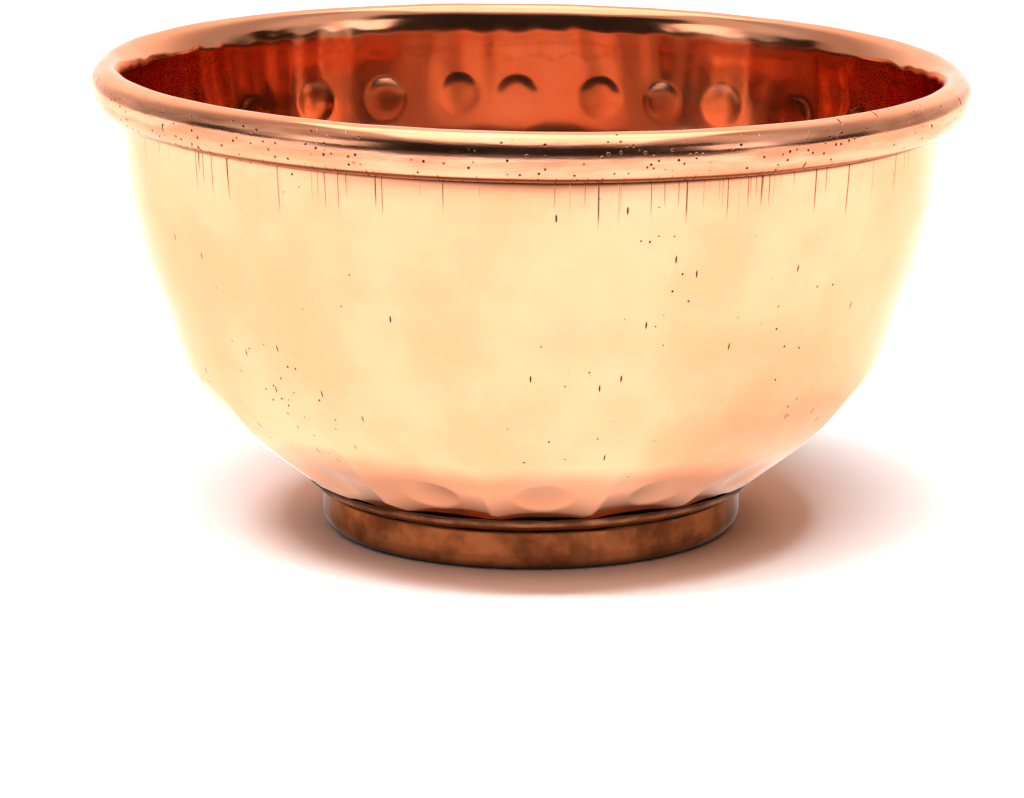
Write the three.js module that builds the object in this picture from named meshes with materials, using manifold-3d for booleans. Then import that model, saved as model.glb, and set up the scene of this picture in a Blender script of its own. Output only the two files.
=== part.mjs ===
// Small hammered copper bowl on a soldered foot ring, with a wired edge.
//
// Units are millimetres, +Z is up, and the origin is on the table under the middle of the foot.
// The bowl is raised from one sheet. Its edge is rolled outwards over a wire, and a strip bent into a
// ring is soldered under the bottom as a foot.

import * as THREE from "three";
import { mergeVertices } from "three/addons/utils/BufferGeometryUtils.js";
import Module from "manifold-3d";

// ---------------------------------------------------------------------------------- driving dimensions
const RIM_RADIUS = 38; // outside of the rolled edge
const HEIGHT = 40.7; // table to the top of the rolled edge
const SHEET = 0.5; // thickness of the copper sheet
const GAP = 0.3; // clearance between separate pieces
const BOTTOM_RISE = 2.2; // outside of the bowl's bottom above the table

const WIRE_RADIUS = 0.6;
const WIRE_IN = 1.5; // the wire's centre, inwards from the outside of the rolled edge
const WIRE_DOWN = 2.55; // and down from its top

const FOOT_RADIUS = 18.3; // outside of the foot ring
const FOOT_THICKNESS = 2.3;
const FOOT_HEIGHT = 3.65; // height of the ring's outer wall
const FOOT_ROUND = 1.5; // round on the ring's outer lower edge
const JOINT_GAP = 1.0; // between the two ends of the bent strip
const JOINT_SOLDER = 0.4; // solder in that gap

const SEAM_START = 18.65; // inner radius of the solder fillet above the foot ring
const SEAM_END = 20.0; // where the fillet runs out on the bowl
const SEAM_THICKNESS = 0.5;
const SEAM_BULGE = 0.05; // the fillet's face sags this far below a straight line

const SEGMENTS = 48; // steps around the bowl
const SHEET_STEPS = 42; // steps along the sheet's section

// ------------------------------------------------------------------------------------------ materials
const copper = new THREE.MeshStandardMaterial({ color: 0xd98b66, metalness: 1, roughness: 0.2 });
const wireCopper = new THREE.MeshStandardMaterial({ color: 0x9a5a3c, metalness: 1, roughness: 0.45 });
const footCopper = new THREE.MeshStandardMaterial({ color: 0xb0653f, metalness: 1, roughness: 0.3 });
const solder = new THREE.MeshStandardMaterial({ color: 0x5a4030, metalness: 0.8, roughness: 0.6 });

// -------------------------------------------------------------------------------------- profile helpers
const HALF_SHEET = SHEET / 2;

const point = (radius, height) => new THREE.Vector2(radius, height);

// Points of a circular arc about (radius, height), from one angle to another in degrees.
function arc(radius, height, size, fromDeg, toDeg, steps) {
  const points = [];
  for (let i = 0; i <= steps; i += 1) {
    const angle = THREE.MathUtils.degToRad(fromDeg + ((toDeg - fromDeg) * i) / steps);
    points.push(point(radius + size * Math.cos(angle), height + size * Math.sin(angle)));
  }
  return points;
}

// The same line moved sideways by a distance, positive to the left of its direction. A point on the
// axis stays on it.
function offset(points, distance) {
  return points.map((here, i) => {
    if (here.x === 0) {
      return point(0, here.y + distance);
    }
    const before = points[Math.max(i - 1, 0)];
    const after = points[Math.min(i + 1, points.length - 1)];
    const along = after.clone().sub(before).normalize();
    return point(here.x - along.y * distance, here.y + along.x * distance);
  });
}

// A closed ring or a closed bowl-like body, turned about +Z from an outline of (radius, height) points.
function turned(outline) {
  const geometry = new THREE.LatheGeometry(outline, SEGMENTS);
  geometry.rotateX(Math.PI / 2);
  return geometry;
}

// ------------------------------------------------------------------------------------------ bowl shell
// Middle of the sheet: from the centre of the bottom, up the wall, then over the wire and back in.
// The points of the rolled edge are measured from its outside and its top.
const edge = (inwards, down) => point(RIM_RADIUS - inwards, HEIGHT - down);

const sheetCurve = new THREE.SplineCurve([
  point(0, BOTTOM_RISE + HALF_SHEET),
  point(9, 2.6),
  point(14.9, 3.3),
  point(18.1, 4.3),
  point(20.5, 5.6),
  point(24.4, 8.2),
  point(27, 10.35),
  point(28.8, 12.45),
  point(30.2, 15),
  point(31.9, 20),
  point(33.4, 24.5),
  point(34.45, 29),
  point(34.9, 32.5),
  point(35.15, 35.5),
  edge(2.78, 3.3),
  edge(2.68, 2),
  edge(2.46, 1.15),
  edge(2.08, 0.52),
  edge(1.5, HALF_SHEET),
  edge(0.82, 0.58),
  edge(0.38, 1.18),
  edge(HALF_SHEET, 1.8),
  edge(0.4, 2.6),
  edge(0.88, 3.4),
  edge(1.55, 3.82),
  edge(2.05, 3.86),
]);
const sheetLine = sheetCurve.getPoints(SHEET_STEPS);

function bowlShell() {
  const inside = offset(sheetLine, HALF_SHEET);
  const outside = offset(sheetLine, -HALF_SHEET);
  return turned([...outside, ...inside.reverse()]);
}

// ------------------------------------------------------------------------------------------- rim wire
// A round wire inside the rolled edge. It never shows.
const WIRE_STEPS = 8;

function rimWire() {
  return turned(arc(RIM_RADIUS - WIRE_IN, HEIGHT - WIRE_DOWN, WIRE_RADIUS, 0, 360, WIRE_STEPS));
}

// ------------------------------------------------------------------------------------------ foot ring
const wallBelow = offset(sheetLine, -HALF_SHEET);

// Height of the bowl's outside surface above the table at a radius.
function undersideAt(radius) {
  const after = wallBelow.findIndex((p) => p.x > radius);
  const a = wallBelow[after - 1];
  const b = wallBelow[after];
  return THREE.MathUtils.mapLinear(radius, a.x, b.x, a.y, b.y);
}

const FOOT_INNER = FOOT_RADIUS - FOOT_THICKNESS;
const ROUND_STEPS = 4;

// A box across the ring at the back, this wide, for the joint between the strip's ends.
const footBox = (width) => {
  const box = new THREE.BoxGeometry(width, 2 * FOOT_THICKNESS, 2 * FOOT_HEIGHT);
  box.translate(0, FOOT_RADIUS - FOOT_THICKNESS / 2, FOOT_HEIGHT);
  return box;
};

function footSection() {
  const round = arc(FOOT_RADIUS - FOOT_ROUND, FOOT_ROUND, FOOT_ROUND, -90, 0, ROUND_STEPS);
  return [
    point(FOOT_INNER, 0),
    ...round,
    point(FOOT_RADIUS, Math.min(FOOT_HEIGHT, undersideAt(FOOT_RADIUS) - GAP)),
    point(FOOT_INNER, undersideAt(FOOT_INNER) - GAP),
    point(FOOT_INNER, 0),
  ];
}

const WELD = 1e-4; // corners closer than this are one corner

const wasm = await Module();
wasm.setup();

function solidOf(geometry) {
  const bare = geometry.clone();
  bare.deleteAttribute("normal");
  bare.deleteAttribute("uv");
  const merged = mergeVertices(bare, WELD);
  return new wasm.Manifold(new wasm.Mesh({
    numProp: 3,
    vertProperties: new Float32Array(merged.attributes.position.array),
    triVerts: new Uint32Array(merged.index.array),
  }));
}

function geometryOf(solid) {
  const mesh = solid.getMesh();
  const geometry = new THREE.BufferGeometry();
  geometry.setAttribute("position", new THREE.BufferAttribute(mesh.vertProperties, 3));
  geometry.setIndex(new THREE.BufferAttribute(mesh.triVerts, 1));
  geometry.computeVertexNormals();
  return geometry;
}

const ring = solidOf(turned(footSection()));

// The strip's two ends meet at the back of the bowl, with a narrow gap between them.
const footRing = () => geometryOf(ring.subtract(solidOf(footBox(JOINT_GAP))));

// Solder in that gap, flush with the ring.
const footJointSolder = () => geometryOf(ring.intersect(solidOf(footBox(JOINT_SOLDER))));

// ------------------------------------------------------------------------------- solder above the foot
// A fillet that fills the groove between the top of the foot ring and the bowl.
const SEAM_STEPS = 3;

function footSeamSolder() {
  const top = [];
  for (let i = 0; i <= SEAM_STEPS; i += 1) {
    const radius = THREE.MathUtils.lerp(SEAM_START, SEAM_END, i / SEAM_STEPS);
    top.push(point(radius, undersideAt(radius) - GAP));
  }
  const low = point(SEAM_START, top[0].y - SEAM_THICKNESS);
  const outer = point((SEAM_START + SEAM_END) / 2, (low.y + top[SEAM_STEPS].y) / 2 - SEAM_BULGE);
  return turned([low, outer, ...top.reverse(), low]);
}

// ------------------------------------------------------------------------------------------- assembly
const group = new THREE.Group();

function add(name, geometry, material) {
  const mesh = new THREE.Mesh(geometry, material);
  mesh.name = name;
  group.add(mesh);
}

add("bowl_shell", bowlShell(), copper);
add("rim_wire", rimWire(), wireCopper);
add("foot_ring", footRing(), footCopper);
add("foot_joint_solder", footJointSolder(), solder);
add("foot_seam_solder", footSeamSolder(), solder);

export default group;
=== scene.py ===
"""Small hammered copper bowl on a soldered foot ring: the visual model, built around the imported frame.

Lengths in this script are millimetres until a mesh or an object is made, which is in metres. An angle
round the bowl is 0 at the front (-Y) and grows towards +X.
"""

import math

import bpy
import numpy as np
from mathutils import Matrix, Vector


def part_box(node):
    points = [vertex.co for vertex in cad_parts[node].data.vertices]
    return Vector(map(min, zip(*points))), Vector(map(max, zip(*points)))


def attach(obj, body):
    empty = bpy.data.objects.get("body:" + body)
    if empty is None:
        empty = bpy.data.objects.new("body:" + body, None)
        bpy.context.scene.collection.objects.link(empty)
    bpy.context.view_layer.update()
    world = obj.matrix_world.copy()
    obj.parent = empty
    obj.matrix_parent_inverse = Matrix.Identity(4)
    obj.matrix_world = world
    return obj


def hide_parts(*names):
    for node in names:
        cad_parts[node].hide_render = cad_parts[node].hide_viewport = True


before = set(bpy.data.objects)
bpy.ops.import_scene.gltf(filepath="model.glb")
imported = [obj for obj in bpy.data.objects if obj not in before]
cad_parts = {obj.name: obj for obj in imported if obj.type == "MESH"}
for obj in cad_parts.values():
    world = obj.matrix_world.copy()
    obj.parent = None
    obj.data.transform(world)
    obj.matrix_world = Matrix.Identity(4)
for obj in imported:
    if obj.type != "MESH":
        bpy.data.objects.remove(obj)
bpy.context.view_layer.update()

MM = 0.001
TURN = 2 * math.pi


def node_box(name):
    """Lowest and highest corner of a CAD node, in millimetres."""
    low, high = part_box(name)
    return np.array(low) / MM, np.array(high) / MM


SHELL_LOW, SHELL_HIGH = node_box("bowl_shell")
WIRE_LOW, WIRE_HIGH = node_box("rim_wire")
_, FOOT_HIGH = node_box("foot_ring")
SEAM_LOW, SEAM_HIGH = node_box("foot_seam_solder")
JOINT_LOW, _ = node_box("foot_joint_solder")

# ------------------------------------------------------------------------------------ driving dimensions
RIM_RADIUS = SHELL_HIGH[0]
HEIGHT = SHELL_HIGH[2]
SHEET = 0.5
HALF_SHEET = SHEET / 2

WIRE_RADIUS = (WIRE_HIGH[2] - WIRE_LOW[2]) / 2
WIRE_HEIGHT = (WIRE_LOW[2] + WIRE_HIGH[2]) / 2
WIRE_INNER_SIDE = 2.1  # inwards from the outside of the rolled edge

FOOT_RADIUS = FOOT_HIGH[0]
FOOT_INNER = JOINT_LOW[1]
FOOT_HEIGHT = FOOT_HIGH[2]
FOOT_ROUND = 1.5  # round on the ring's outer lower edge
FOOT_GAP = 0.3  # between the ring's inside and the bowl
JOINT_GAP = 1.0  # between the ends of the foot ring's strip
JOINT_HALF_ANGLE = JOINT_GAP / 2 / FOOT_RADIUS

SEAM_START = 18.65  # inner radius of the solder's face
SEAM_END = SEAM_HIGH[0]
SEAM_TUCK = 0.5  # how far the solder runs in under the bowl
SEAM_SAG = 0.12  # how far its face sags below a straight line
SOLDER_GAP = 0.02  # between the solder and the bowl

RIM_TILT = math.radians(0.85)  # the hand-made rim stands a little higher on the left

AROUND = 720  # steps round the bowl
PROFILE_STEPS = 24  # steps between two points of the sheet's line
rng = np.random.default_rng(7)


# ------------------------------------------------------------------------------------ lines and profiles
def catmull_rom(points, steps):
    """A smooth line through points, with this many steps between two of them."""
    p = np.array(points, float)
    p = np.vstack([p[0], p, p[-1]])
    t = np.linspace(0, 1, steps, endpoint=False)[:, None]
    parts = []
    for a, b, c, d in zip(p[:-3], p[1:-2], p[2:-1], p[3:]):
        tangent_in = (c - a) / 2
        tangent_out = (d - b) / 2
        cubic = 2 * b - 2 * c + tangent_in + tangent_out
        square = -3 * b + 3 * c - 2 * tangent_in - tangent_out
        parts.append(cubic * t**3 + square * t**2 + tangent_in * t + b)
    return np.vstack([*parts, p[-1:]])


def arc(centre, size, start, end, steps):
    """Points of a circular arc, angles in degrees."""
    angle = np.radians(np.linspace(start, end, steps))
    return np.column_stack([centre[0] + size * np.cos(angle), centre[1] + size * np.sin(angle)])


class Profile:
    """A line of (radius, height) points that can be read at any distance along it."""

    def __init__(self, line):
        steps = np.linalg.norm(np.diff(line, axis=0), axis=1)
        self.at = np.concatenate([[0], np.cumsum(steps)])
        self.line = line
        self.length = self.at[-1]

    def point(self, s):
        return np.column_stack([np.interp(s, self.at, self.line[:, k]) for k in (0, 1)])

    def normal(self, s):
        """Unit normals on the left of the line, which is the inside of the bowl."""
        reach = 0.08  # half the stretch of line that sets the direction
        along = self.point(np.minimum(s + reach, self.length)) - self.point(np.maximum(s - reach, 0))
        along /= np.linalg.norm(along, axis=1)[:, None]
        return np.column_stack([-along[:, 1], along[:, 0]])

    def find_height(self, height):
        """Distance along the line where it first reaches a height."""
        first = np.argmax(self.line[:, 1] >= height)
        return self.at[first]


def edge(inwards, down):
    """A point of the rolled edge, measured from its outside and its top."""
    return (RIM_RADIUS - inwards, HEIGHT - down)


# Middle of the sheet: from the centre of the bottom, up the wall, then over the wire and back in.
SHEET_POINTS = [
    (0, SHELL_LOW[2] + HALF_SHEET),
    (9, 2.6),
    (14.9, 3.3),
    (18.1, 4.3),
    (20.5, 5.6),
    (24.4, 8.2),
    (27, 10.35),
    (28.8, 12.45),
    (30.2, 15),
    (31.9, 20),
    (33.4, 24.5),
    (34.45, 29),
    (34.9, 32.5),
    (35.15, 35.5),
    edge(2.78, 3.3),
    edge(2.68, 2),
    edge(2.46, 1.15),
    edge(2.08, 0.52),
    edge(1.5, HALF_SHEET),
    edge(0.82, 0.58),
    edge(0.38, 1.18),
    edge(HALF_SHEET, 1.8),
    edge(0.4, 2.6),
    edge(0.88, 3.4),
    edge(1.55, 3.82),
    edge(2.05, 3.86),
]
sheet = Profile(catmull_rom(SHEET_POINTS, PROFILE_STEPS))

# Distances along the sheet's line start with S_.
S_NECK = sheet.find_height(HEIGHT - 2.2)
S_CREST = sheet.find_height(sheet.line[:, 1].max())
S_END = sheet.length


# --------------------------------------------------------------------------------------- hammered relief
class Waves:
    """A smooth uneven height: a sum of waves that run round and along a profile.

    around is the fewest and most crests round the bowl, and along is the most radians per millimetre
    that a wave turns along the profile.
    """

    def __init__(self, amplitude, around, along, count):
        self.parts = []
        for _ in range(count):
            turns = rng.integers(around[0], around[1] + 1)
            self.parts.append((turns, rng.uniform(-along, along), rng.uniform(0, TURN)))
        self.amplitude = amplitude / math.sqrt(count)

    def __call__(self, theta, s):
        total = np.zeros(np.broadcast(theta, s).shape)
        for turns, pitch, phase in self.parts:
            total += np.cos(turns * theta + pitch * s + phase)
        return self.amplitude * total


def from_centre(theta, s, mark):
    """Distance from a mark's centre as a share of its radius."""
    centre_theta, centre_s, radius, _ = mark
    ring = np.interp(centre_s, sheet.at, sheet.line[:, 0])
    off = (theta - centre_theta + math.pi) % TURN - math.pi
    return np.sqrt((off * ring) ** 2 + (s - centre_s) ** 2) / radius


def cap(theta, s, mark, power=2.0):
    """The dent of one round-faced blow, with a clear edge: zero outside it. High powers are flatter."""
    share = np.minimum(from_centre(theta, s, mark), 1)
    return mark[3] * (1 - share**power)


def ring_of_marks(angles, s, radius, depth, spread):
    """Marks at these angles, each a little out of place and a little deeper or shallower."""
    marks = []
    for angle in angles:
        marks.append((
            angle,
            s + rng.normal(0, spread),
            radius * rng.uniform(0.94, 1.06),
            depth * rng.uniform(0.85, 1.15),
        ))
    return marks


def spaced(count, first, jitter):
    """Angles of evenly spaced blows with an uneven hand."""
    return [math.radians(first) + k * TURN / count + rng.normal(0, jitter) for k in range(count)]


def widened(marks, scale, depth):
    """The softer swelling that each blow leaves round its mark."""
    return [(angle, s, radius * scale, depth) for angle, s, radius, _ in marks]


def smooth_step(x, low, high):
    """0 below low and 1 above high, with a smooth change between."""
    t = np.clip((x - low) / (high - low), 0, 1)
    return t * t * (3 - 2 * t)


# Just above the foot: large flat facets, with a smaller mark low in each
FACETS = 15
FIRST_FACET = 2.5  # degrees
S_FACETS = sheet.find_height(9.3)
S_LOWER_MARKS = sheet.find_height(7.5)
FACET_RADIUS = 8.1
FACET_DEPTH = 0.54
LOWER_MARK_RADIUS = 2.6
LOWER_MARK_DEPTH = 0.1
lower_angles = spaced(FACETS, FIRST_FACET, 0.02)
facets = ring_of_marks(lower_angles, S_FACETS, FACET_RADIUS, FACET_DEPTH, 0.15)
lower_marks = ring_of_marks(lower_angles, S_LOWER_MARKS, LOWER_MARK_RADIUS, LOWER_MARK_DEPTH, 0.12)

# Near the edge: a ring of round marks with a soft swelling round each
S_UPPER_MARKS = sheet.find_height(HEIGHT - 8.5)
FAR_MARKS = (-60, -47, -35, -23, -11, -2, 11, 21, 31, 45, 59)  # degrees from straight back, + to the right
NEAR_MARKS = np.arange(-108, 109, 12)  # degrees from the front
UPPER_MARK_RADIUS = 1.95
UPPER_MARK_DEPTH = 0.092
UPPER_MARK_POWER = 3.2  # a flatter bottom than a ball leaves
SWELLING_SCALE = 1.65
SWELLING_DEPTH = 0.02
upper_angles = [math.pi - math.radians(a) for a in FAR_MARKS]
upper_angles += [math.radians(a) + rng.normal(0, 0.02) for a in NEAR_MARKS]
upper_marks = ring_of_marks(upper_angles, S_UPPER_MARKS, UPPER_MARK_RADIUS, UPPER_MARK_DEPTH, 0.15)
upper_swellings = widened(upper_marks, SWELLING_SCALE, SWELLING_DEPTH)

# Between them: rings of very shallow planishing blows
PLANISHING_HEIGHTS = np.arange(13.5, 33, 4.2)
PLANISHING_COUNT = 22
PLANISHING_RADIUS = 4.6
PLANISHING_DEPTH = 0.022
planishing = []
for height in PLANISHING_HEIGHTS:
    ring_s = sheet.find_height(height)
    blows = spaced(PLANISHING_COUNT, rng.uniform(0, 16), 0.03)
    planishing += ring_of_marks(blows, ring_s, PLANISHING_RADIUS, PLANISHING_DEPTH, 0.5)

# At the edge: small taps that turned the sheet over
TAP_DEPTHS_BELOW_TOP = (6, 4.4, 3.2)
TAP_COUNT = 68
TAP_RADIUS = 1.5
TAP_DEPTH = 0.011
edge_taps = []
for down in TAP_DEPTHS_BELOW_TOP:
    blows = spaced(TAP_COUNT, rng.uniform(0, 5), 0.02)
    edge_taps += ring_of_marks(blows, sheet.find_height(HEIGHT - down), TAP_RADIUS, TAP_DEPTH, 0.25)

body_waves = Waves(0.014, around=(5, 18), along=0.5, count=9)
flutes = Waves(0.022, around=(26, 80), along=0.4, count=14)
edge_waves = Waves(0.014, around=(10, 40), along=0.5, count=8)
LOWER_SHOW_INSIDE = 0.55  # the blows by the foot came from outside and show less on the inside
UPPER_SHOW_OUTSIDE = 0.1  # the outside has been planished smooth over the upper marks


def relief(theta, s, side):
    """How far the sheet is pushed inwards, at each angle and distance along the profile."""
    push = np.zeros_like(theta)
    for mark in facets:
        push = np.maximum(push, cap(theta, s, mark))
    for mark in lower_marks:
        push += cap(theta, s, mark)
    if side > 0:
        push *= LOWER_SHOW_INSIDE
    for mark in planishing:
        push += cap(theta, s, mark)
    upper_show = 1.0 if side > 0 else UPPER_SHOW_OUTSIDE
    for mark in upper_marks:
        push += upper_show * cap(theta, s, mark, UPPER_MARK_POWER)
    for mark in [*upper_swellings, *edge_taps]:
        push += upper_show * cap(theta, s, mark)
    wall = smooth_step(s, S_FACETS, S_FACETS + 8) * (1 - smooth_step(s, S_NECK - 2, S_NECK + 0.5))
    push += wall * body_waves(theta, s)
    near_edge = smooth_step(s, S_UPPER_MARKS - 3, S_UPPER_MARKS + 3)
    near_edge *= 1 - smooth_step(s, S_NECK, S_NECK + 1)
    push += upper_show * near_edge * flutes(theta, s)
    push += smooth_step(s, S_NECK - 0.5, S_NECK + 1.5) * edge_waves(theta, s)
    return push


def out_of_true(x, y, z):
    """The hand-made bowl's rim isn't level: the wall leans up to one side towards the rim."""
    share = np.clip(z / HEIGHT, 0, 1) ** 2
    return x, y, z - math.tan(RIM_TILT) * x * share


# ------------------------------------------------------------------------------------------ mesh making
def new_object(name, vertices, faces, smooth=True):
    """A mesh object in the scene. Its points are in metres."""
    mesh = bpy.data.meshes.new(name)
    mesh.from_pydata(np.asarray(vertices).tolist(), [], faces)
    mesh.validate()
    if smooth:
        mesh.shade_smooth()
    piece = bpy.data.objects.new(name, mesh)
    bpy.context.scene.collection.objects.link(piece)
    return piece


def grid_faces(rows, columns, close_rows, close_columns):
    """Quads between the points of a grid, which may close on itself either way."""
    faces = []
    for i in range(rows if close_rows else rows - 1):
        a = i * columns
        b = ((i + 1) % rows) * columns
        for j in range(columns if close_columns else columns - 1):
            k = (j + 1) % columns
            faces.append((a + j, b + j, b + k, a + k))
    return faces


def end_caps(rows, columns):
    """The two faces that close the ends of a swept section."""
    last = (rows - 1) * columns
    return [tuple(range(columns)), tuple(last + columns - 1 - j for j in range(columns))]


def spin(radius, height, theta):
    """Points of a profile turned about the axis to these angles."""
    return radius * np.sin(theta), -radius * np.cos(theta), height


def stations(limits):
    """Distances along the profile: for each (end, spacing), steps of that spacing up to the end.

    They start one step away from the bowl's centre, which is a single point.
    """
    s = [limits[0][1]]
    for end, spacing in limits:
        count = max(int(math.ceil((end - s[-1]) / spacing)), 1)
        s += list(np.linspace(s[-1], end, count + 1)[1:])
    return np.array(s)


def sheet_face(s, side):
    """Grid of points on one face of the sheet. side is 1 for the inside face, -1 for the outside."""
    theta = np.linspace(0, TURN, AROUND, endpoint=False)
    grid_theta, grid_s = np.meshgrid(theta, s)
    push = relief(grid_theta, grid_s, side)
    middle = sheet.point(s)
    normal = sheet.normal(s)
    away = side * HALF_SHEET + push
    radius = middle[:, :1] + normal[:, :1] * away
    height = middle[:, 1:] + normal[:, 1:] * away
    return np.stack(out_of_true(*spin(radius, height, grid_theta)), axis=-1)


BOTTOM_END = 14  # the plain bottom reaches this far along the profile
BOTTOM_STEP = 0.9
WALL_STEP = 0.3


def make_shell():
    """Both faces of the sheet as one closed mesh, with finer steps towards the edge."""
    body = [(BOTTOM_END, BOTTOM_STEP), (S_NECK, WALL_STEP)]
    inside_s = stations([*body, (S_END, 0.14)])
    outside_s = stations([*body, (S_CREST, 0.5), (S_END, 0.3)])[::-1]
    rows = np.concatenate([sheet_face(inside_s, 1), sheet_face(outside_s, -1)])
    count = len(rows)
    floor_inside = (0, 0, sheet.line[0, 1] + HALF_SHEET)
    floor_outside = (0, 0, sheet.line[0, 1] - HALF_SHEET)
    vertices = np.vstack([rows.reshape(-1, 3), floor_inside, floor_outside]) * MM
    faces = grid_faces(count, AROUND, False, True)
    centre = count * AROUND  # the middle of the inside; the middle of the outside comes after it
    last = (count - 1) * AROUND
    for j in range(AROUND):
        k = (j + 1) % AROUND
        faces.append((centre, j, k))
        faces.append((centre + 1, last + k, last + j))
    return new_object("bowl_hammered", vertices, faces)


SECTION_STEP = 0.6  # taken as the distance between two points of a ring's section, for its waves


def make_ring(name, section, waves=None, opening=0.0, grow=None):
    """A closed section turned round the axis. An opening leaves a gap of that half angle at the back."""
    section = np.asarray(section, float)
    columns = len(section)
    if opening:
        theta = np.linspace(-math.pi + opening, math.pi - opening, AROUND // 2)
    else:
        theta = np.linspace(-math.pi, math.pi, AROUND // 2, endpoint=False)
    grid_theta, index = np.meshgrid(theta, np.arange(columns), indexing="ij")
    middle = section.mean(axis=0)
    away = section[index] - middle
    if waves:
        away = away * (1 + waves(grid_theta, index * SECTION_STEP))[..., None]
    line = middle + away
    x, y, z = spin(line[..., 0], line[..., 1], grid_theta)
    z = np.maximum(z, 0)
    if grow:
        x, y, z = grow(x, y, z)
    vertices = np.stack([x, y, z], axis=-1).reshape(-1, 3) * MM
    faces = grid_faces(len(theta), columns, not opening, True)
    if opening:
        faces += end_caps(len(theta), columns)
    return new_object(name, vertices, faces)


def install(piece, node, material):
    """Put a finished piece in the place of its CAD node."""
    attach(piece, "root")
    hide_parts(node)
    piece.data.materials.append(material)


def underside(radius):
    """Height of the bowl's outside surface above the table at a radius near the foot."""
    s = np.linspace(0, S_FACETS, 400)
    below = sheet.point(s) - sheet.normal(s) * HALF_SHEET
    return np.interp(radius, below[:, 0], below[:, 1])


def foot_section():
    """The foot ring: its rounded lower edge, its wall, and its top, which slopes under the bowl."""
    round_edge = arc((FOOT_RADIUS - FOOT_ROUND, FOOT_ROUND), FOOT_ROUND, -90, 0, 12)
    wall = [(FOOT_RADIUS, h) for h in (2.1, 2.7, 3.2, 3.5)]
    top_edge = [(FOOT_RADIUS - 0.06, FOOT_HEIGHT - 0.03), (FOOT_RADIUS - 0.16, FOOT_HEIGHT)]
    inner_top = underside(FOOT_INNER) - FOOT_GAP
    inner = [(FOOT_INNER, inner_top), (FOOT_INNER, inner_top / 2), (FOOT_INNER, 0.12), (FOOT_INNER + 0.12, 0)]
    return [*round_edge.tolist(), *wall, *top_edge, *inner]


def seam_section():
    """The solder fillet: its face, then back along the bowl to its tucked-in end."""
    steps = np.linspace(0, 1, 7)
    radius = SEAM_START + (SEAM_END - SEAM_START) * steps
    top = np.column_stack([radius, underside(radius) - SOLDER_GAP])
    tucked = SEAM_START - SEAM_TUCK
    face_start = (tucked, SEAM_LOW[2] + 0.05)
    middle = (0.5 * (SEAM_START + SEAM_END), 0.5 * (face_start[1] + top[-1, 1]) - SEAM_SAG)
    face = catmull_rom([face_start, middle, top[-1]], 5)[:-1]
    inner_top = (tucked, underside(tucked) - SOLDER_GAP)
    return [*face.tolist(), *top[::-1].tolist(), inner_top]


JOINT_SIZE = 0.985  # of the foot ring's section
JOINT_NECK = 0.07  # how much of that the solder necks in halfway
JOINT_FILL = 0.7  # of the gap's width


def joint_section():
    """The foot ring's section drawn in a little, for the solder between the strip's ends."""
    section = np.array(foot_section())
    middle = section.mean(axis=0)
    return middle + (section - middle) * JOINT_SIZE


def make_joint():
    """Solder in the gap at the back: a short piece of ring that necks in between the strip's ends."""
    section = joint_section()
    columns = len(section)
    share = np.linspace(-1, 1, 7)
    middle = section.mean(axis=0)
    rows = []
    for t in share:
        drawn = middle + (section - middle) * (1 - JOINT_NECK + JOINT_NECK * t * t)
        theta = math.pi + t * JOINT_HALF_ANGLE * JOINT_FILL
        x, y, z = spin(drawn[:, 0], drawn[:, 1], theta)
        rows.append(np.stack([x, y, z], axis=-1))
    vertices = np.concatenate(rows) * MM
    faces = grid_faces(len(share), columns, False, True)
    faces += end_caps(len(share), columns)
    return new_object("joint_solder", vertices, faces)


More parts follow.
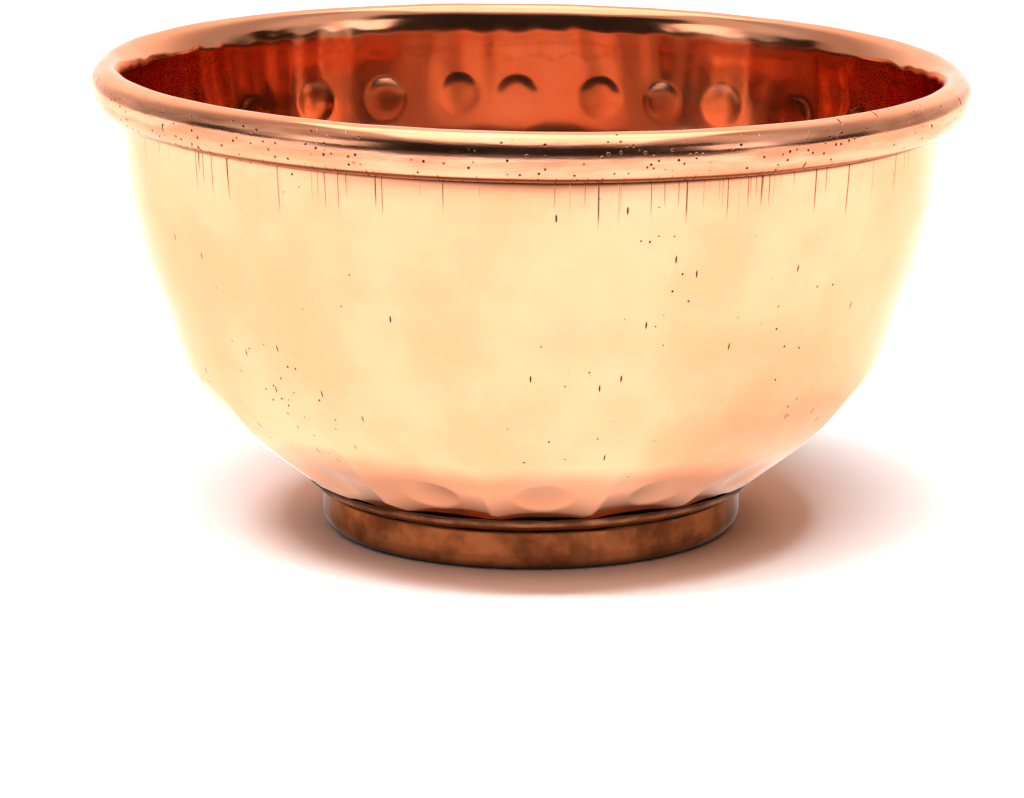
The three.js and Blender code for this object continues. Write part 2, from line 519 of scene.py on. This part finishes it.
# ------------------------------------------------------------------------------------------- materials
class Nodes:
    """A small helper that adds nodes to one material and links them. Lengths in it are metres."""

    def __init__(self, name):
        self.material = bpy.data.materials.new(name)
        self.material.use_nodes = True
        self.tree = self.material.node_tree
        self.tree.nodes.clear()
        self.output = self.tree.nodes.new("ShaderNodeOutputMaterial")
        self.shader = self.tree.nodes.new("ShaderNodeBsdfPrincipled")
        self.tree.links.new(self.shader.outputs[0], self.output.inputs["Surface"])

    def add(self, kind, **settings):
        node = self.tree.nodes.new(kind)
        for key, value in settings.items():
            setattr(node, key, value)
        return node

    def put(self, socket, value):
        """Give a socket a fixed value or another node's output."""
        if isinstance(value, bpy.types.NodeSocket):
            self.tree.links.new(value, socket)
        elif isinstance(value, tuple) and len(value) == 3 and socket.type == "RGBA":
            socket.default_value = (*value, 1)
        else:
            socket.default_value = value

    def math(self, operation, a, b=0.0):
        node = self.add("ShaderNodeMath", operation=operation)
        self.put(node.inputs[0], a)
        self.put(node.inputs[1], b)
        return node.outputs[0]

    def step(self, value, low, high, to_low=0.0, to_high=1.0):
        """Smooth change from to_low to to_high as a value goes from low to high."""
        node = self.add("ShaderNodeMapRange", interpolation_type="SMOOTHSTEP")
        self.put(node.inputs["Value"], value)
        node.inputs["From Min"].default_value = low
        node.inputs["From Max"].default_value = high
        node.inputs["To Min"].default_value = to_low
        node.inputs["To Max"].default_value = to_high
        return node.outputs[0]

    def mix(self, share, a, b, blend="MIX"):
        node = self.add("ShaderNodeMix", data_type="RGBA", blend_type=blend)
        self.put(node.inputs["Factor"], share)
        self.put(node.inputs["A"], a)
        self.put(node.inputs["B"], b)
        return node.outputs["Result"]

    def place(self):
        """Position on the object, as a vector and as x, y and z, and the angle round the bowl."""
        at = self.add("ShaderNodeTexCoord").outputs["Object"]
        split = self.add("ShaderNodeSeparateXYZ")
        self.put(split.inputs[0], at)
        x, y, z = split.outputs
        back = self.math("MULTIPLY", y, -1.0)
        angle = self.math("ARCTAN2", x, back)
        return at, x, y, z, angle

    def distance_from_axis(self, x, y):
        squares = self.math("ADD", self.math("MULTIPLY", x, x), self.math("MULTIPLY", y, y))
        return self.math("POWER", squares, 0.5)

    def vector(self, x, y, z):
        node = self.add("ShaderNodeCombineXYZ")
        self.put(node.inputs[0], x)
        self.put(node.inputs[1], y)
        self.put(node.inputs[2], z)
        return node.outputs[0]

    def noise(self, at, scale, detail=2, roughness=0.5):
        node = self.add("ShaderNodeTexNoise")
        self.put(node.inputs["Vector"], at)
        node.inputs["Scale"].default_value = scale
        node.inputs["Detail"].default_value = detail
        node.inputs["Roughness"].default_value = roughness
        return node.outputs["Fac"]

    def bump(self, height, distance, strength=1.0, before=None):
        node = self.add("ShaderNodeBump")
        self.put(node.inputs["Height"], height)
        node.inputs["Distance"].default_value = distance
        node.inputs["Strength"].default_value = strength
        if before is not None:
            self.put(node.inputs["Normal"], before)
        return node.outputs[0]


# Colours, as linear red, green and blue
CLEAN_DEEP = (0.86, 0.305, 0.155)
CLEAN_PALE = (0.86, 0.365, 0.205)
INSIDE_SHADE = (0.86, 0.86, 0.86)  # painted shade: the inside face is darker than the outside, standing in for the dimmer light inside the bowl
EDGE_TINT = (0.97, 0.81, 0.71)  # what clean copper reflects at a grazing angle
BROWN_EDGE_TINT = (0.65, 0.56, 0.52)  # and what browned copper does
DULL_DEEP = (0.42, 0.155, 0.08)
DULL_PALE = (0.73, 0.34, 0.21)
# painted shade for the crease under the rolled edge
PAINTED_CREASE_SHADE = (0.06, 0.02, 0.01)
LINE_DIRT = (0.045, 0.018, 0.01)
PIT_DIRT = (0.05, 0.015, 0.008)
FLUX_STAIN = (0.2, 0.08, 0.04)
# the foot's browns are partly heat patina and partly painted shade for the shadowed table that the ring
# reflects
FOOT_DEEP = (0.075, 0.018, 0.006)
FOOT_BROWN = (0.19, 0.05, 0.016)
FOOT_WARM = (0.28, 0.09, 0.035)
FOOT_SCRATCH = (0.05, 0.015, 0.007)
FOOT_TOP_DIRT = (0.03, 0.01, 0.005)
# painted contact shade where the ring stands on the table
FOOT_CONTACT_SHADE = (0.03, 0.01, 0.006)
SOLDER_DEEP = (0.17, 0.048, 0.019)
SOLDER_PALE = (0.38, 0.13, 0.055)
SOLDER_BURNT = (0.025, 0.009, 0.005)
WIRE_DEEP = (0.36, 0.16, 0.085)
WIRE_PALE = (0.6, 0.29, 0.16)


def below_top(depth):
    """Height in metres of a place this many millimetres below the top of the rim."""
    return (HEIGHT - depth) * MM


def inside_rim(distance):
    """Radius in metres of a place this many millimetres in from the outside of the rim."""
    return (RIM_RADIUS - distance) * MM


def facing_out(n, x, y):
    """1 on faces that look away from the bowl's axis, 0 on those that look towards it."""
    split = n.add("ShaderNodeSeparateXYZ")
    n.put(split.inputs[0], n.add("ShaderNodeTexCoord").outputs["Normal"])
    away = n.math("ADD", n.math("MULTIPLY", split.outputs[0], x), n.math("MULTIPLY", split.outputs[1], y))
    return n.step(away, -0.002, 0.002)


WALL_RADIUS = 0.035  # metres; an angle times this is a distance round the wall
FOOT_WALL_RADIUS = 0.018

# Upright lines under the edge: cells to a metre, width as a share of a cell, how rarely one is picked,
# and how many millimetres below the rim's top the shortest ones end
STRETCH_LINES = ((560, 0.045, 1.6, 6.5), (1000, 0.05, 1.72, 5.5), (1700, 0.07, 1.7, 4.9))
LINE_REACH = 0.0032  # how much further the longest ones go, in metres


def copper_with_wear_and_painted_shade():
    """Polished sheet: warm mottling, a duller rolled edge with pits, stretch lines under the edge, and
    painted shade in the crease under the edge and over the whole inside face.
    """
    n = Nodes("bowl_copper")
    at, x, y, z, angle = n.place()
    across = n.math("MULTIPLY", angle, WALL_RADIUS)
    radius = n.distance_from_axis(x, y)
    level = n.math("ADD", z, n.math("MULTIPLY", x, math.tan(RIM_TILT)))
    outside = facing_out(n, x, y)

    # the outside of the rolled edge, from its lowest point nearly to its top
    low_edge = n.step(radius, inside_rim(2.3), inside_rim(1.9))
    low_edge = n.math("MULTIPLY", low_edge, n.step(level, below_top(0.3), below_top(0.9)))
    low_edge = n.math("MULTIPLY", low_edge, n.step(level, below_top(4.7), below_top(4.4)))

    # clean copper with faint warm clouds
    clouds = n.noise(at, 95, 4, 0.55)
    clean = n.mix(n.step(clouds, 0.35, 0.7), CLEAN_DEEP, CLEAN_PALE)
    # painted shade: the inside face takes the darker INSIDE_SHADE colour
    clean = n.mix(n.step(outside, 0.0, 1.0, 1.0, 0.0), clean, INSIDE_SHADE, "MULTIPLY")

    # duller metal on the outside of the rolled edge, in streaks along it, more on its upper half
    streaks = n.noise(n.vector(n.math("MULTIPLY", angle, 0.006), z, radius), 900, 4, 0.6)
    dull = n.mix(n.step(streaks, 0.35, 0.68), DULL_DEEP, DULL_PALE)
    patches = n.noise(n.vector(across, z, 0.0), 110)
    dull_share = n.math("MULTIPLY", low_edge, n.step(patches, 0.3, 0.72, 0.95, 0.65))
    dull_share = n.math("MULTIPLY", dull_share, n.step(level, below_top(3.4), below_top(2.0), 0.5, 1.0))
    colour = n.mix(dull_share, clean, dull)

    # painted shade in the crease under the edge
    crease_shade = n.step(level, below_top(4.6), below_top(4.3))
    crease_shade = n.math("MULTIPLY", crease_shade, n.step(level, below_top(3.55), below_top(3.75)))
    crease_shade = n.math("MULTIPLY", crease_shade, n.step(radius, inside_rim(2.8), inside_rim(2.6)))
    crease_shade = n.math("MULTIPLY", crease_shade, n.step(patches, 0.2, 0.6, 0.9, 1.0))
    colour = n.mix(crease_shade, colour, PAINTED_CREASE_SHADE)

    def cells_of(dimensions, at_socket, position, scale):
        """Distance to the nearest of many scattered points, and two chances that belong to that point."""
        cells = n.add("ShaderNodeTexVoronoi", feature="F1", voronoi_dimensions=dimensions)
        n.put(cells.inputs[at_socket], position)
        cells.inputs["Scale"].default_value = scale
        chance = n.add("ShaderNodeSeparateColor")
        n.put(chance.inputs[0], cells.outputs["Color"])
        return cells.outputs["Distance"], chance.outputs[0], chance.outputs[1]

    # fine dark upright lines that hang from the crease, where the sheet was stretched
    hanging = n.math("MULTIPLY", n.step(level, below_top(3.4), below_top(3.8)), outside)
    groups = n.math("MULTIPLY", n.noise(n.vector(across, 0.0, 0.0), 75), 2.0)
    line_share = 0.0
    for scale, width, limit, end in STRETCH_LINES:
        distance, chance, reach = cells_of("1D", "W", across, scale)
        picked = n.step(n.math("ADD", chance, groups), limit, limit + 0.15)
        line = n.math("MULTIPLY", n.step(distance, width, width * 0.4), picked)
        reached = n.math("ADD", level, n.math("MULTIPLY", reach, LINE_REACH))
        line = n.math("MULTIPLY", line, n.step(reached, below_top(end), below_top(end - 2)))
        line_share = n.math("MAXIMUM", line_share, line)
    line_share = n.math("MULTIPLY", line_share, hanging)
    colour = n.mix(n.math("MULTIPLY", line_share, 0.85), colour, LINE_DIRT)

    # pits in clusters, many on the rolled edge and a few on the wall, and short upright nicks
    pit_places = n.math("MULTIPLY", n.noise(at, 260), 2.0)
    nick_places = n.math("MULTIPLY", n.noise(at, 80), 2.0)
    above_foot = n.math("MULTIPLY", n.step(level, 9.8 * MM, 10.4 * MM), outside)

    def scars(dimensions, position, zone, places, scale, size, limit):
        """Dots, one to a cell, only in a zone and in the places and cells picked by chance."""
        distance, chance, _ = cells_of(dimensions, "Vector", position, scale)
        picked = n.step(n.math("ADD", chance, places), limit, limit + 0.06)
        dots = n.math("MULTIPLY", n.step(distance, size, size * 0.5), picked)
        return n.math("MULTIPLY", dots, zone)

    edge_pits = scars("3D", at, low_edge, pit_places, scale=2000, size=0.3, limit=1.74)
    wall_pits = scars("3D", at, above_foot, nick_places, scale=1500, size=0.2, limit=2.02)
    drawn_out = n.vector(across, n.math("MULTIPLY", z, 0.25), 0.0)
    nicks = scars("2D", drawn_out, above_foot, nick_places, scale=500, size=0.05, limit=1.76)
    pit = n.math("MAXIMUM", edge_pits, n.math("MAXIMUM", wall_pits, nicks))
    colour = n.mix(pit, colour, PIT_DIRT)

    # flux stain just above the foot
    stain = n.step(radius, (SEAM_END + 0.6) * MM, (SEAM_END - 0.4) * MM)
    stain = n.math("MULTIPLY", stain, n.step(radius, (SEAM_START - 0.15) * MM, (SEAM_START + 0.15) * MM))
    stain = n.math("MULTIPLY", stain, n.step(z, 5.5 * MM, 5.2 * MM))
    colour = n.mix(n.math("MULTIPLY", stain, 0.8), colour, FLUX_STAIN)

    n.put(n.shader.inputs["Base Color"], colour)
    n.shader.inputs["Metallic"].default_value = 1
    n.shader.inputs["Specular Tint"].default_value = (*EDGE_TINT, 1)
    haze = n.step(n.noise(at, 45), 0.3, 0.75, 0.06, 0.11)
    haze = n.math("ADD", haze, n.step(outside, 0.0, 1.0, 0.035, 0.0))
    rough = n.math("ADD", haze, n.math("MULTIPLY", low_edge, 0.1))
    rough = n.math("ADD", rough, n.math("MULTIPLY", n.math("MAXIMUM", line_share, pit), 0.3))
    n.put(n.shader.inputs["Roughness"], rough)
    scuffs = n.math("MULTIPLY", n.math("SUBTRACT", streaks, 0.5), low_edge)
    normal = n.bump(scuffs, 0.00003)
    normal = n.bump(n.math("SUBTRACT", 1.0, n.math("MAXIMUM", pit, line_share)), 0.00005, before=normal)
    n.put(n.shader.inputs["Normal"], normal)
    return n.material


def browned_and_shaded_copper():
    """The foot ring: copper of a smooth dark brown that is partly heat patina and partly painted shade for
    the shadowed table it reflects, with a few upright scratches, a dark line along its top edge and painted
    contact shade along its bottom edge.
    """
    n = Nodes("foot_copper")
    _, _, _, z, angle = n.place()
    across = n.math("MULTIPLY", angle, FOOT_WALL_RADIUS)
    clouds = n.noise(n.vector(across, z, 0.0), 200, 4, 0.6)
    # partly heat patina, partly painted shade: a dark brown that stands in for the shadowed table in the
    # reflection
    brown = n.mix(n.step(clouds, 0.35, 0.65), FOOT_DEEP, FOOT_BROWN)
    warm = n.noise(n.vector(across, 0.0, 0.01), 60, 1)
    colour = n.mix(n.math("MULTIPLY", n.step(warm, 0.5, 0.7), 0.45), brown, FOOT_WARM)
    scratches = n.noise(n.vector(across, n.math("MULTIPLY", z, 0.08), 0.0), 1500)
    places = n.noise(n.vector(across, 0.0, 0.05), 130)
    scratch = n.math("MULTIPLY", n.step(scratches, 0.62, 0.72), n.step(places, 0.5, 0.62))
    colour = n.mix(n.math("MULTIPLY", scratch, 0.6), colour, FOOT_SCRATCH)
    uneven = n.math("ADD", z, n.math("MULTIPLY", n.math("SUBTRACT", clouds, 0.5), 0.0006))
    near_top = n.step(uneven, (FOOT_HEIGHT - 0.3) * MM, (FOOT_HEIGHT - 0.05) * MM)
    colour = n.mix(n.math("MULTIPLY", near_top, 0.9), colour, FOOT_TOP_DIRT)
    # painted contact shade: darker along the ring's lower edge, where it meets the table
    contact_shade = n.step(z, 0.4 * MM, 0.1 * MM)
    colour = n.mix(contact_shade, colour, FOOT_CONTACT_SHADE)
    n.put(n.shader.inputs["Base Color"], colour)
    n.shader.inputs["Metallic"].default_value = 1
    n.shader.inputs["Specular Tint"].default_value = (*BROWN_EDGE_TINT, 1)
    n.put(n.shader.inputs["Roughness"], n.step(clouds, 0.3, 0.7, 0.36, 0.24))
    height = n.math("SUBTRACT", n.math("MULTIPLY", clouds, 0.3), n.math("MULTIPLY", scratch, 0.4))
    n.put(n.shader.inputs["Normal"], n.bump(height, 0.00003))
    return n.material


def rough_solder():
    """Hard solder with brown flux glaze: smooth lumps, and a burnt dark line along both of its edges."""
    n = Nodes("solder")
    at, x, y, _, _ = n.place()
    lumps = n.noise(at, 500, 3, 0.55)
    colour = n.mix(n.step(lumps, 0.35, 0.68), SOLDER_DEEP, SOLDER_PALE)
    wobble = n.math("MULTIPLY", n.math("SUBTRACT", n.noise(at, 250), 0.5), 0.0005)
    radius = n.math("ADD", n.distance_from_axis(x, y), wobble)
    inner_burn = n.step(radius, (SEAM_START + 0.05) * MM, (SEAM_START - 0.25) * MM)
    outer_burn = n.step(radius, (SEAM_END - 0.4) * MM, (SEAM_END - 0.1) * MM)
    burnt = n.math("MAXIMUM", inner_burn, outer_burn)
    colour = n.mix(n.math("MULTIPLY", burnt, 0.9), colour, SOLDER_BURNT)
    n.put(n.shader.inputs["Base Color"], colour)
    n.shader.inputs["Metallic"].default_value = 1
    n.shader.inputs["Specular Tint"].default_value = (*BROWN_EDGE_TINT, 1)
    n.put(n.shader.inputs["Roughness"], n.step(lumps, 0.3, 0.7, 0.42, 0.26))
    n.put(n.shader.inputs["Normal"], n.bump(lumps, 0.00006))
    return n.material


def drawn_wire():
    """Dull drawn copper wire with fine lines along it."""
    n = Nodes("wire_copper")
    _, _, _, z, angle = n.place()
    lines = n.noise(n.vector(n.math("MULTIPLY", angle, 0.002), z, 0.0), 2500)
    n.put(n.shader.inputs["Base Color"], n.mix(lines, WIRE_DEEP, WIRE_PALE))
    n.shader.inputs["Metallic"].default_value = 1
    n.shader.inputs["Roughness"].default_value = 0.4
    return n.material


# --------------------------------------------------------------------------------------------- the bowl
solder = rough_solder()

install(make_shell(), "bowl_shell", copper_with_wear_and_painted_shade())

wire_centre = ((WIRE_HIGH[0] + RIM_RADIUS - WIRE_INNER_SIDE) / 2, WIRE_HEIGHT)
wire = make_ring("edge_wire", arc(wire_centre, WIRE_RADIUS, 0, 345, 24), grow=out_of_true)
install(wire, "rim_wire", drawn_wire())

foot_waves = Waves(0.006, around=(3, 30), along=0.4, count=8)
foot = make_ring("foot_band", foot_section(), waves=foot_waves, opening=JOINT_HALF_ANGLE)
install(foot, "foot_ring", browned_and_shaded_copper())

seam_waves = Waves(0.07, around=(5, 60), along=0.8, count=14)
seam = make_ring("seam_solder", seam_section(), waves=seam_waves)
install(seam, "foot_seam_solder", solder)

install(make_joint(), "foot_joint_solder", solder)


# ------------------------------------------------------------------------------- floor, light and camera
def flat_material(name, colour):
    """A plain matt surface."""
    n = Nodes(name)
    n.shader.inputs["Base Color"].default_value = (*colour, 1)
    n.shader.inputs["Roughness"].default_value = 0.9
    n.shader.inputs["Specular IOR Level"].default_value = 0.1
    return n.material


def rectangle(name, corners, material):
    """A flat card of four corners, with its material."""
    card = new_object(name, corners, [(0, 1, 2, 3)], smooth=False)
    card.data.materials.append(material)
    return card


FLOOR = 3  # half the width of the floor, in metres
FLOOR_COLOUR = (0.9, 0.9, 0.89)


def square(half, height):
    """Corners of a level square round the axis."""
    return [(-half, -half, height), (half, -half, height), (half, half, height), (-half, half, height)]


floor = rectangle("floor", square(FLOOR, 0), flat_material("floor", FLOOR_COLOUR))
floor.visible_glossy = False

# What the polished copper sees round it. Angles are degrees from straight ahead, where the viewer stands,
# and heights on the dome are the sine of the elevation.
TENT_WHITE = (1, 0.995, 0.985)
WALL_GLOW = 0.62
BACK_GLOW = 1.55
STRIP_GLOW = 2.0
PANEL_GLOW = 1.8
SIDE_GLOW = 0.3
DOOR = 54  # degrees each side of straight ahead that are dark
DOOR_SHARE = 0.05  # how much of the wall's glow is left in the dark places
GAP_SHARE = 0.04

# Soft borders of its parts, each as where the part starts and where it is full
STRIP_BOTTOM = (0.78, 0.86)
STRIP_BACK = (0.45, 0.36)
STRIP_END = (0.42, 0.34)
LOW_GAP_TOP = (0.2, 0.15)
HIGH_GAP_TOP = (0.38, 0.3)
SIDE_BOTTOM = (0.38, 0.48)
PANEL_BOTTOM = (0.17, 0.23)
PANEL_TOP = (0.6, 0.48)
DOOR_TOP = (0.75, 0.7)

# The table's glow grows outwards in two rises
TABLE_FOOT_GLOW = 0.06  # under the foot
TABLE_NEAR_GLOW = 1.28  # just outside the foot
TABLE_FAR_GLOW = 1.0  # added from a few millimetres further out

# The bowl's own shadow on the table, to the right and less to the left: where it starts and is full, as
# the sine of the angle round the bowl, the radii where it fades out and is full, and the light left in it
TABLE_SHADOWS = ((0.25, 0.95, 0.07, 0.03, 0.7), (-0.25, -0.85, 0.029, 0.024, 0.75))


def glowing(n, light):
    """Turn a material into a plain glow of this strength, seen only by reflections."""
    n.tree.nodes.remove(n.shader)
    glow = n.add("ShaderNodeEmission")
    glow.inputs["Color"].default_value = (*TENT_WHITE, 1)
    n.put(glow.inputs["Strength"], light)
    n.put(n.output.inputs["Surface"], glow.outputs[0])
    n.material.cycles.emission_sampling = "NONE"
    return n.material


def tent_material():
    """What the dome shows: grey walls, a lit back, lit panels, a strip overhead and a dark door."""
    n = Nodes("light_tent")
    _, x, y, z, angle = n.place()
    side = n.math("ABSOLUTE", angle)

    def between(low, high, edge):
        """1 where the angle from straight ahead is between two angles in degrees, with soft ends."""
        rise = n.step(side, math.radians(low - edge), math.radians(low + edge))
        fall = n.step(side, math.radians(high + edge), math.radians(high - edge))
        return n.math("MULTIPLY", rise, fall)

    def darkened(light, where, share):
        """Less light where a mask is 1: only this share of it."""
        return n.math("MULTIPLY", light, n.step(where, 0.0, 1.0, 1.0, share))

    light = n.step(side, math.radians(110), math.radians(155), WALL_GLOW, BACK_GLOW)

    # a strip overhead, from side to side
    overhead = n.math("MULTIPLY", n.step(z, *STRIP_BOTTOM), n.step(y, *STRIP_BACK))
    strip = n.math("MULTIPLY", n.step(n.math("ABSOLUTE", x), *STRIP_END), overhead)
    light = n.math("ADD", light, n.math("MULTIPLY", strip, STRIP_GLOW))

    # dark gaps at both sides
    low_gap = n.math("MULTIPLY", between(66, 96, 8), n.step(z, *LOW_GAP_TOP))
    high_gap = n.math("MULTIPLY", between(78, 96, 8), n.step(z, *HIGH_GAP_TOP))
    light = darkened(light, n.math("MAXIMUM", low_gap, high_gap), GAP_SHARE)

    # more light high up at the sides, and a lit panel at each side of the door
    high_side = n.math("MULTIPLY", between(56, 90, 8), n.step(z, *SIDE_BOTTOM, 0.0, SIDE_GLOW))
    light = n.math("ADD", light, high_side)
    panel_height = n.math("MULTIPLY", n.step(z, *PANEL_BOTTOM), n.step(z, *PANEL_TOP))
    panel = n.math("MULTIPLY", between(44, 63, 6), panel_height)
    light = n.math("ADD", light, n.math("MULTIPLY", panel, PANEL_GLOW))

    # the dark door
    door = n.step(side, math.radians(DOOR + 6), math.radians(DOOR - 4))
    door = n.math("MULTIPLY", door, n.step(z, *DOOR_TOP))
    door = n.math("MULTIPLY", door, n.step(panel, 0.6, 0.2))
    light = darkened(light, door, DOOR_SHARE)
    return glowing(n, light)


def bright_table():
    """The table as the copper sees it: dark against the foot, very bright further out, dark at the door."""
    n = Nodes("bright_table")
    _, x, y, _, angle = n.place()
    side = n.math("ABSOLUTE", angle)
    radius = n.distance_from_axis(x, y)
    light = n.step(radius, 0.0165, 0.0195, TABLE_FOOT_GLOW, TABLE_NEAR_GLOW)
    light = n.math("ADD", light, n.step(radius, 0.0203, 0.0257, 0.0, TABLE_FAR_GLOW))

    # a little less of it further out towards the viewer
    toward_viewer = n.step(side, math.radians(75), math.radians(30))
    dimmer = n.math("MULTIPLY", n.step(radius, 0.13, 0.19, 0.0, 1.1), toward_viewer)
    light = n.math("SUBTRACT", light, dimmer)

    rightward = n.math("DIVIDE", x, radius)
    for start, full, outer, inner, left in TABLE_SHADOWS:
        shaded = n.math("MULTIPLY", n.step(rightward, start, full), n.step(radius, outer, inner))
        light = n.math("MULTIPLY", light, n.step(shaded, 0.0, 1.0, 1.0, left))

    door = n.step(side, math.radians(DOOR + 4), math.radians(DOOR - 4))
    door = n.math("MULTIPLY", door, n.step(y, -0.13, -0.22))
    light = n.math("MULTIPLY", light, n.step(door, 0.0, 1.0, 1.0, 0.15))
    return glowing(n, light)


def only_in_reflections(thing):
    """Hide a thing from everything but the copper's reflections."""
    for ray in ("camera", "diffuse", "shadow", "transmission", "volume_scatter"):
        setattr(thing, "visible_" + ray, False)


def make_tent():
    """A dome of one metre over the bowl that only shows in reflections."""
    rows = 33
    columns = 64
    highest = 89.5  # degrees; the dome is left open at its very top
    up = np.radians(np.linspace(0, highest, rows))
    turn = np.linspace(0, TURN, columns, endpoint=False)
    grid_up, grid_turn = np.meshgrid(up, turn, indexing="ij")
    vertices = np.stack([
        np.cos(grid_up) * np.cos(grid_turn),
        np.cos(grid_up) * np.sin(grid_turn),
        np.sin(grid_up),
    ], axis=-1).reshape(-1, 3)
    tent = new_object("light_tent", vertices, grid_faces(rows, columns, False, True))
    tent.data.materials.append(tent_material())
    only_in_reflections(tent)


make_tent()

TABLE = 1.0  # half the width of the table that the copper sees, in metres
BELOW_FLOOR = -0.0003
only_in_reflections(rectangle("bright_table", square(TABLE, BELOW_FLOOR), bright_table()))


def area_lamp(name, width, depth, energy, place):
    """A soft lamp that points straight down and doesn't show in reflections."""
    lamp = bpy.data.lights.new(name, "AREA")
    lamp.shape = "RECTANGLE"
    lamp.size = width
    lamp.size_y = depth
    lamp.energy = energy
    light = bpy.data.objects.new(name, lamp)
    light.location = place
    light.visible_glossy = False
    bpy.context.scene.collection.objects.link(light)


area_lamp("strip_light", width=0.9, depth=0.24, energy=22, place=(-0.08, -0.21, 0.85))
area_lamp("ceiling", width=2.0, depth=2.0, energy=9, place=(-0.4, -0.3, 0.9))

WORLD_GLOW = 1.02

scene = bpy.context.scene
world = bpy.data.worlds.new("studio")
scene.world = world
world.use_nodes = True
background = world.node_tree.nodes["Background"]
background.inputs["Color"].default_value = (1, 1, 1, 1)
background.inputs["Strength"].default_value = WORLD_GLOW
world.cycles_visibility.diffuse = False

scene.view_settings.view_transform = "Standard"
# Light bounces many times inside the polished bowl.
scene.cycles.max_bounces = 24
scene.cycles.glossy_bounces = 20
scene.cycles.diffuse_bounces = 4

# The camera stands in front of the bowl and looks down a little. Lengths are millimetres.
CAMERA_DISTANCE = 400
CAMERA_ELEVATION = math.radians(12.87)
CAMERA_TARGET = (-1.67, 0, 10.84)
SENSOR_WIDTH = 36
LENS = 160.2

camera = bpy.data.objects.new("camera", bpy.data.cameras.new("camera"))
scene.collection.objects.link(camera)
scene.camera = camera
camera.data.sensor_width = SENSOR_WIDTH
camera.data.lens = LENS
camera.data.clip_start = 0.01
camera.location = (
    CAMERA_TARGET[0] * MM,
    -CAMERA_DISTANCE * math.cos(CAMERA_ELEVATION) * MM,
    (CAMERA_TARGET[2] + CAMERA_DISTANCE * math.sin(CAMERA_ELEVATION)) * MM,
)
camera.rotation_euler = (math.pi / 2 - CAMERA_ELEVATION, 0, 0)
